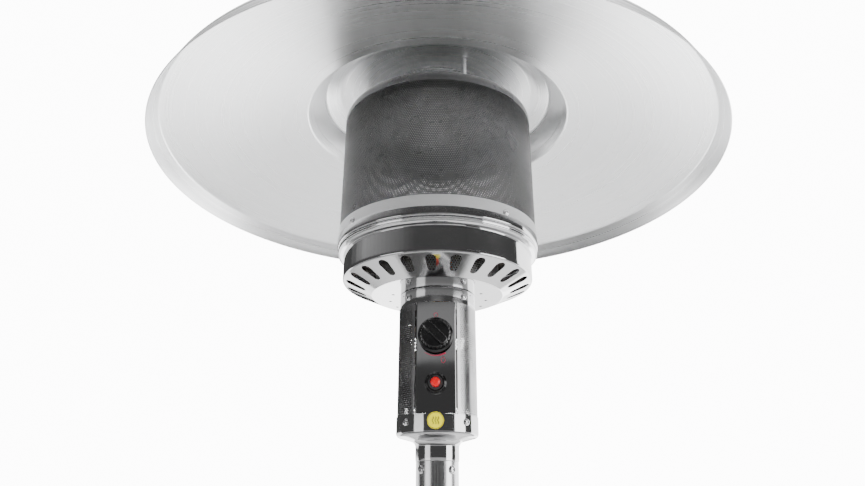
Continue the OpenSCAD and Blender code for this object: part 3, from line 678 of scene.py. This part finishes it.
def bowl():
    z = PLATE_Z
    drum0, drum1, bead1 = z + 18.5, z + 54, BOWL_TOP
    path = [
        (49, z - 19, 0), (49, z, 0.6), (91, z, 4), (DRUM_R, drum0, 3), (DRUM_R, drum1, 1.2),
        (BEAD_R - 3, drum1 + 0.6, 1.5), (BEAD_R, drum1 + 2.6, 1.4), (BEAD_R - 0.7, drum1 + 4.6, 0.8),
        (BEAD_R, drum1 + 6.4, 1.4), (BEAD_R - 1.2, bead1, 1.2), (DRUM_R + 1, bead1, 0),
    ]
    obj = spun("burner_bowl", path, 0.8, CHROME, 4, 240)
    slot = teardrop(7, 5.2, 120.5, 105.5)
    cutter = loft("slots", [[(x, y, h) for x, y in slot] for h in (z - 4, z + 26)], CHROME)
    count = 24
    turns = [Matrix.Rotation(SLOT_START + TURN * k / count, 4, "Z") for k in range(count)]
    cut(obj, copies("slots", cutter, turns))
    outline = [(0, z - 3), (PLATE_HOLE_R, z - 3), (PLATE_HOLE_R, z + 5), (0, z + 5)]
    hole = lathe("holes", [Vector(p) for p in outline], CHROME, 20)
    spots = [(FRONT + side * math.radians(a), r) for side in (-1, 1) for a, r in PLATE_HOLES]
    turns = [Matrix.Rotation(a, 4, "Z") @ Matrix.Translation((r * MM, 0, 0)) for a, r in spots]
    cut(obj, copies("holes", hole, turns))
    place(obj, "burner_bowl")
    lap = sheet([Vector((DRUM_R + 0.75, drum0 + 4)), Vector((DRUM_R + 0.75, drum1 - 0.6))], 0.7)
    beside(lathe("bowl_lap_seam", lap, CHROME, 8, FRONT + math.radians(18), math.radians(8)), "burner_bowl")
    guard_z0, guard_z1 = low("bowl_guard"), high("bowl_guard")
    place(perforated("bowl_guard", 86, 0.8, guard_z0, guard_z1, 3.6, 2.2, 0, TURN, GUARD), "bowl_guard")


# ---- control head ----

def head():
    z0, z1 = WRAP_Z0, WRAP_Z1
    cap = [
        (25.9, low("head_bottom_cap"), 0), (25.9, POST_TOP, 0), (27.6, POST_TOP + 0.1, 0.8),
        (28, POST_TOP + 4, 3), (28, POST_TOP + 23.3, 8), (BAND_R, POST_TOP + 30, 5), (BAND_R, z0, 0),
    ]
    place(spun("head_bottom_cap", cap, 0.8, CHROME, 4, 160), "head_bottom_cap")
    r = WRAP_R - 0.9
    top = [(r, z1 + 0.3, 0), (r, PLATE_Z - 0.2, 1.4), (49.3, PLATE_Z - 0.2, 0)]
    place(spun("head_top_cap", top, 0.8, CHROME, 4, 160), "head_top_cap")
    clear = math.radians(24)
    skirt = sheet([Vector((r, z1 - 9)), Vector((r, z1 + 0.35))], 0.8)
    beside(lathe("head_top_cap_skirt", skirt, CHROME, 140, FRONT + clear, TURN - 2 * clear), "head_top_cap")
    edge = math.asin(27.4 / WRAP_R)
    margin = 2.8 / WRAP_R
    a0, a1 = FRONT + edge, FRONT + TURN - edge
    holes = (a0 + margin, a1 - margin)
    place(perforated("head_wrap", WRAP_R, 0.8, z0 - 4, z1 - 1.5, 3.0, 2.0, *holes, MESH), "head_wrap")
    strips = [
        ("head_wrap_edge_right", z0 - 17, z1, a0, margin + 0.6 * 3.0 / WRAP_R),
        ("head_wrap_edge_left", z0 - 17, z1, a1 - margin - 0.6 * 3.0 / WRAP_R, margin + 0.6 * 3.0 / WRAP_R),
        ("head_wrap_foot", z0 - 17, z0 - 3.2, a0, a1 - a0),
        ("head_wrap_top", z1 - 2.6, z1, a0, a1 - a0),
    ]
    for name, low_z, high_z, start, sweep in strips:
        outline = sheet([Vector((WRAP_R, low_z)), Vector((WRAP_R, high_z))], 0.8)
        segments = max(6, round(sweep / TURN * 160))
        beside(lathe(name, outline, MESH, segments, start, sweep), "head_wrap")


def panel():
    half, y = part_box("front_panel")[1].x / MM, PANEL_Y
    z0, z1, back = WRAP_Z0 + 0.4, WRAP_Z1 - 0.4, y + 3.8
    path = rounded([(-half, back, 0), (-half, y, 1.6), (half, y, 1.6), (half, back, 0)], 6)
    outline = sheet(path, 1.2)
    plate = loft("front_panel", [[(p.x, p.y, z) for p in outline] for z in (z0, z1)], PANEL, 30)
    for radius, z in ((5.2, KNOB_Z), (9.2, IGNITER_Z)):
        hole = [(radius * math.cos(TURN * k / 48), z + radius * math.sin(TURN * k / 48)) for k in range(48)]
        cut(plate, loft("hole", [[(x, depth, h) for x, h in hole] for depth in (y - 2, y + 3)], PANEL), 30)
    place(plate, "front_panel")


def rounded_bar(half_w, half_l, z, count=64):
    loop = []
    for k in range(count):
        a = TURN * k / count
        c, s = math.cos(a), math.sin(a)
        loop.append((half_w * math.copysign(abs(c) ** 0.4, c), half_l * math.copysign(abs(s) ** 0.55, s), z))
    return loop


def fluted(radius, z, depth, flutes=24, per_flute=10):
    loop = []
    for k in range(flutes * per_flute):
        a = TURN * k / (flutes * per_flute)
        r = radius - depth * max(0, math.cos(flutes * a)) ** 1.5
        loop.append((r * math.cos(a), r * math.sin(a), z))
    return loop


def joined(name, parts, mat, sharp=40):
    """The parts as one object."""
    bm = bmesh.new()
    for part in parts:
        bm.from_mesh(part.data)
        bpy.data.objects.remove(part)
    mesh = bpy.data.meshes.new(name)
    bm.to_mesh(mesh)
    bm.free()
    mesh.materials.append(mat)
    obj = bpy.data.objects.new(name, mesh)
    bpy.context.scene.collection.objects.link(obj)
    mesh.set_sharp_from_angle(angle=math.radians(sharp))
    return obj


def facing_front(obj, y, z, turn=0.0):
    """Stands an object made along +Z on the head, with its +Z towards the front."""
    at = Matrix.Translation((0, y * MM, z * MM))
    obj.data.transform(at @ Matrix.Rotation(math.pi / 2, 4, "X") @ Matrix.Rotation(turn, 4, "Z"))
    return obj


def knob():
    """Skirt, fluted body and a broad bar to grip, turned as the CAD knob is."""
    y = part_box("control_knob")[1].y / MM
    r = (high("control_knob") - low("control_knob")) / 2
    skirt = rounded([(0, 0, 0), (r, 0, 0.6), (r, 2.8, 1.0), (r - 2.2, 4.4, 0.8), (0, 4.4, 0)], 6)
    body = [
        fluted(r - 2.9, 4.0, 1.0), fluted(r - 3.0, 5.2, 1.0), fluted(r - 3.8, 10.6, 0.9),
        fluted(r - 4.3, 11.8, 0.6), fluted(r - 5.2, 12.4, 0.15), fluted(r - 6.2, 12.6, 0),
    ]
    bar = [
        rounded_bar(7.6, r - 4.6, 10), rounded_bar(6.6, r - 4.4, 13), rounded_bar(5.9, r - 4.6, 18),
        rounded_bar(5.5, r - 4.9, 19.2), rounded_bar(4.8, r - 5.6, 19.9), rounded_bar(4.2, r - 6.2, 20),
    ]
    parts = [lathe("skirt", skirt, KNOB, 160), loft("body", body, KNOB, 50), loft("bar", bar, KNOB, 50)]
    obj = joined("control_knob", parts, KNOB, 45)
    place(facing_front(obj, y, KNOB_Z, math.radians(45)), "control_knob")


def igniter():
    y = PANEL_Y
    ring = rounded([
        (9.15, 0, 0), (13.8, 0, 0), (13.8, 2.2, 1.6), (11.2, 6.5, 1.2), (9.15, 6.5, 0.3), (9.15, 5.9, 0),
    ], 8)
    place(facing_front(lathe("igniter_bezel", ring, BEZEL, 128), y, IGNITER_Z), "igniter_bezel")
    back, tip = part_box("igniter_button")[1].y / MM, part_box("igniter_button")[0].y / MM
    r = (high("igniter_button") - low("igniter_button")) / 2
    depth = back - tip
    stem = rounded([
        (4.5, 0, 0), (r, 0, 0.4), (r, depth - 0.5, 3.4), (0, depth, 0),
        (0, 15, 0), (4.5, 15, 0.5), (4.5, 0, 0),
    ], 10)
    place(facing_front(lathe("igniter_button", stem, RED, 96), back, IGNITER_Z), "igniter_button")


# ---- screws ----

def pan_head(name, r, height, length, shank, recess=True):
    outline = rounded([
        (0, -length, 0), (shank, -length, 0.5), (shank, 0.1, 0), (r, 0.1, 0.3), (r, 0.9, 0.4),
        (r * 0.72, height * 0.86, 2.2), (0, height, 0),
    ], 5)
    obj = lathe(name, outline, BRIGHT, 48, 0, TURN, 30)
    if recess:
        arm, half = r * 0.56, r * 0.13
        top, floor = height + 1, height * 0.35
        loops = []
        for z, reach_out in ((floor, arm * 0.62), (top, arm)):
            cross = [(half, half), (half, reach_out), (-half, reach_out), (-half, half)]
            loop = []
            for k in range(4):
                c, s = math.cos(k * math.pi / 2), math.sin(k * math.pi / 2)
                loop += [(x * c - y * s, x * s + y * c, z) for x, y in cross[:3]]
            loops.append(loop)
        cut(obj, loft("cross", loops, BRIGHT), 30)
    return obj


def radial(angle, r, z, twist=0.0):
    """Where a screw made along +Z goes to stand out of a wall at radius r."""
    return (
        Matrix.Rotation(angle, 4, "Z") @ Matrix.Translation((r * MM, 0, z * MM))
        @ Matrix.Rotation(math.pi / 2, 4, "Y") @ Matrix.Rotation(twist, 4, "Z")
    )


def screws():
    head_z = [(BAND_R, WRAP_Z0 - 9), (WRAP_R - 0.9, WRAP_Z1 + 10)]
    spots = [radial(a, r, z, 0.5 + 2 * a) for r, z in head_z for a in CROSS]
    place(copies("head_screws", pan_head("screw", 4.2, 2.9, 4, 2), spots), "head_screws")
    ring_z = RING_TOP - 12
    spots = [radial(math.radians(a), RING_R - 0.4, ring_z, a) for a in (40.4, 130.4, 220.4, 310.4)]
    place(copies("base_ring_screws", pan_head("screw", 4.2, 2.9, 5, 2), spots), "base_ring_screws")
    joint = high("lower_post")
    spots = [radial(a, POST_R, z, 1 + 3 * a) for z in (joint - 35, joint + 35, POST_TOP - 10) for a in CROSS]
    spots += [radial(a, POST_R + 3.2, low("lower_post") + 32, 2 * a) for a in CROSS]
    place(copies("post_screws", pan_head("screw", 5.1, 2.9, 5, 2.9), spots), "post_screws")


# ---- marks ----

def on_panel(x, z, depth):
    return (x, PANEL_Y - depth, z)


def on_band(x, z, depth):
    a = FRONT + x / BAND_R
    return ((BAND_R + depth) * math.cos(a), (BAND_R + depth) * math.sin(a), z)


def stroke(name, points, widths, surface, depth, mat, closed=False):
    """A flat line of ink through (x, z) points, standing depth proud of a surface."""
    n = len(points)
    verts, faces = [], []
    for i, p in enumerate(points):
        before = points[i - 1] if closed or i else p
        after = points[(i + 1) % n] if closed or i < n - 1 else p
        along = (Vector(after) - Vector(before)).normalized()
        side = Vector((-along.y, along.x)) * widths[i] / 2
        for offset, height in ((side, depth), (-side, depth), (-side, 0.02), (side, 0.02)):
            verts.append(surface(p[0] + offset.x, p[1] + offset.y, height))
    last = n if closed else n - 1
    for i in range(last):
        a, b = 4 * i, 4 * ((i + 1) % n)
        faces += [(a + k, b + k, b + (k + 1) % 4, a + (k + 1) % 4) for k in range(4)]
    if not closed:
        faces += [(0, 1, 2, 3), tuple(4 * (n - 1) + k for k in (3, 2, 1, 0))]
    return mesh_object(name, verts, faces, mat)


def arc(cx, cz, r, start, end, count):
    angles = [math.radians(start + (end - start) * k / (count - 1)) for k in range(count)]
    return [(cx + r * math.cos(a), cz + r * math.sin(a)) for a in angles]


def marks():
    """Generic marks: a ring for off, a widening arc and a small flame for high, heat waves on the label."""
    ring = arc(0, KNOB_Z + 28.2, 2.6, 0, 345, 24)
    beside(stroke("off_mark", ring, [0.55] * 24, on_panel, 0.06, RED_INK, True), "front_panel")
    sweep = arc(0, KNOB_Z, 25.2, 236, 300, 33)
    sweep = [(x, z) for x, z in sweep if abs(x) < 24]
    widths = [0.5 + 1.6 * k / (len(sweep) - 1) for k in range(len(sweep))]
    beside(stroke("heat_scale", sweep, widths, on_panel, 0.06, RED_INK), "front_panel")
    flame = [(9.5, KNOB_Z - 34.5), (6.9, KNOB_Z - 31.5), (9.3, KNOB_Z - 26.6), (12.1, KNOB_Z - 31.5)]
    flame = smooth_loop(flame, 8)
    beside(stroke("flame_mark", flame, [0.7] * len(flame), on_panel, 0.06, RED_INK, True), "front_panel")
    label_z = (low("label_disc") + high("label_disc")) / 2
    face, count = [], 72
    for r in (0, 3.5, 7, 10.3):
        face.append(arc(0, label_z, r, 0, 360 - 360 / count, count))
    loops = [[on_band(x, z, 0.02) for x, z in face[3]]]
    loops += [[on_band(x, z, 0.3) for x, z in loop] for loop in reversed(face)]
    disc = loft("label_disc", loops, YELLOW, 30)
    place(disc, "label_disc")
    edge = arc(0, label_z, 9.5, 0, 355, 72)
    beside(stroke("label_ring", edge, [0.5] * 72, on_band, 0.38, INK, True), "label_disc")
    for k, x in enumerate((-3.2, 0, 3.2)):
        wave = [(x + 0.8 * math.sin(TURN * t / 16), label_z - 4.4 + 8.8 * t / 24) for t in range(25)]
        beside(stroke(f"label_wave_{k + 1}", wave, [0.95] * 25, on_band, 0.38, INK), "label_disc")


def smooth_loop(points, per_side):
    """A closed Catmull-Rom curve through the points."""
    n = len(points)
    out = []
    for i in range(n):
        p = [Vector(points[(i + k) % n]) for k in (-1, 0, 1, 2)]
        for j in range(per_side):
            t = j / per_side
            v = 0.5 * (
                2 * p[1] + (p[2] - p[0]) * t + (2 * p[0] - 5 * p[1] + 4 * p[2] - p[3]) * t * t
                + (3 * p[1] - p[0] - 3 * p[2] + p[3]) * t * t * t
            )
            out.append((v.x, v.y))
    return out


reflector()
emitter()
base_ring()
bowl()
head()
panel()
knob()
igniter()
screws()
marks()
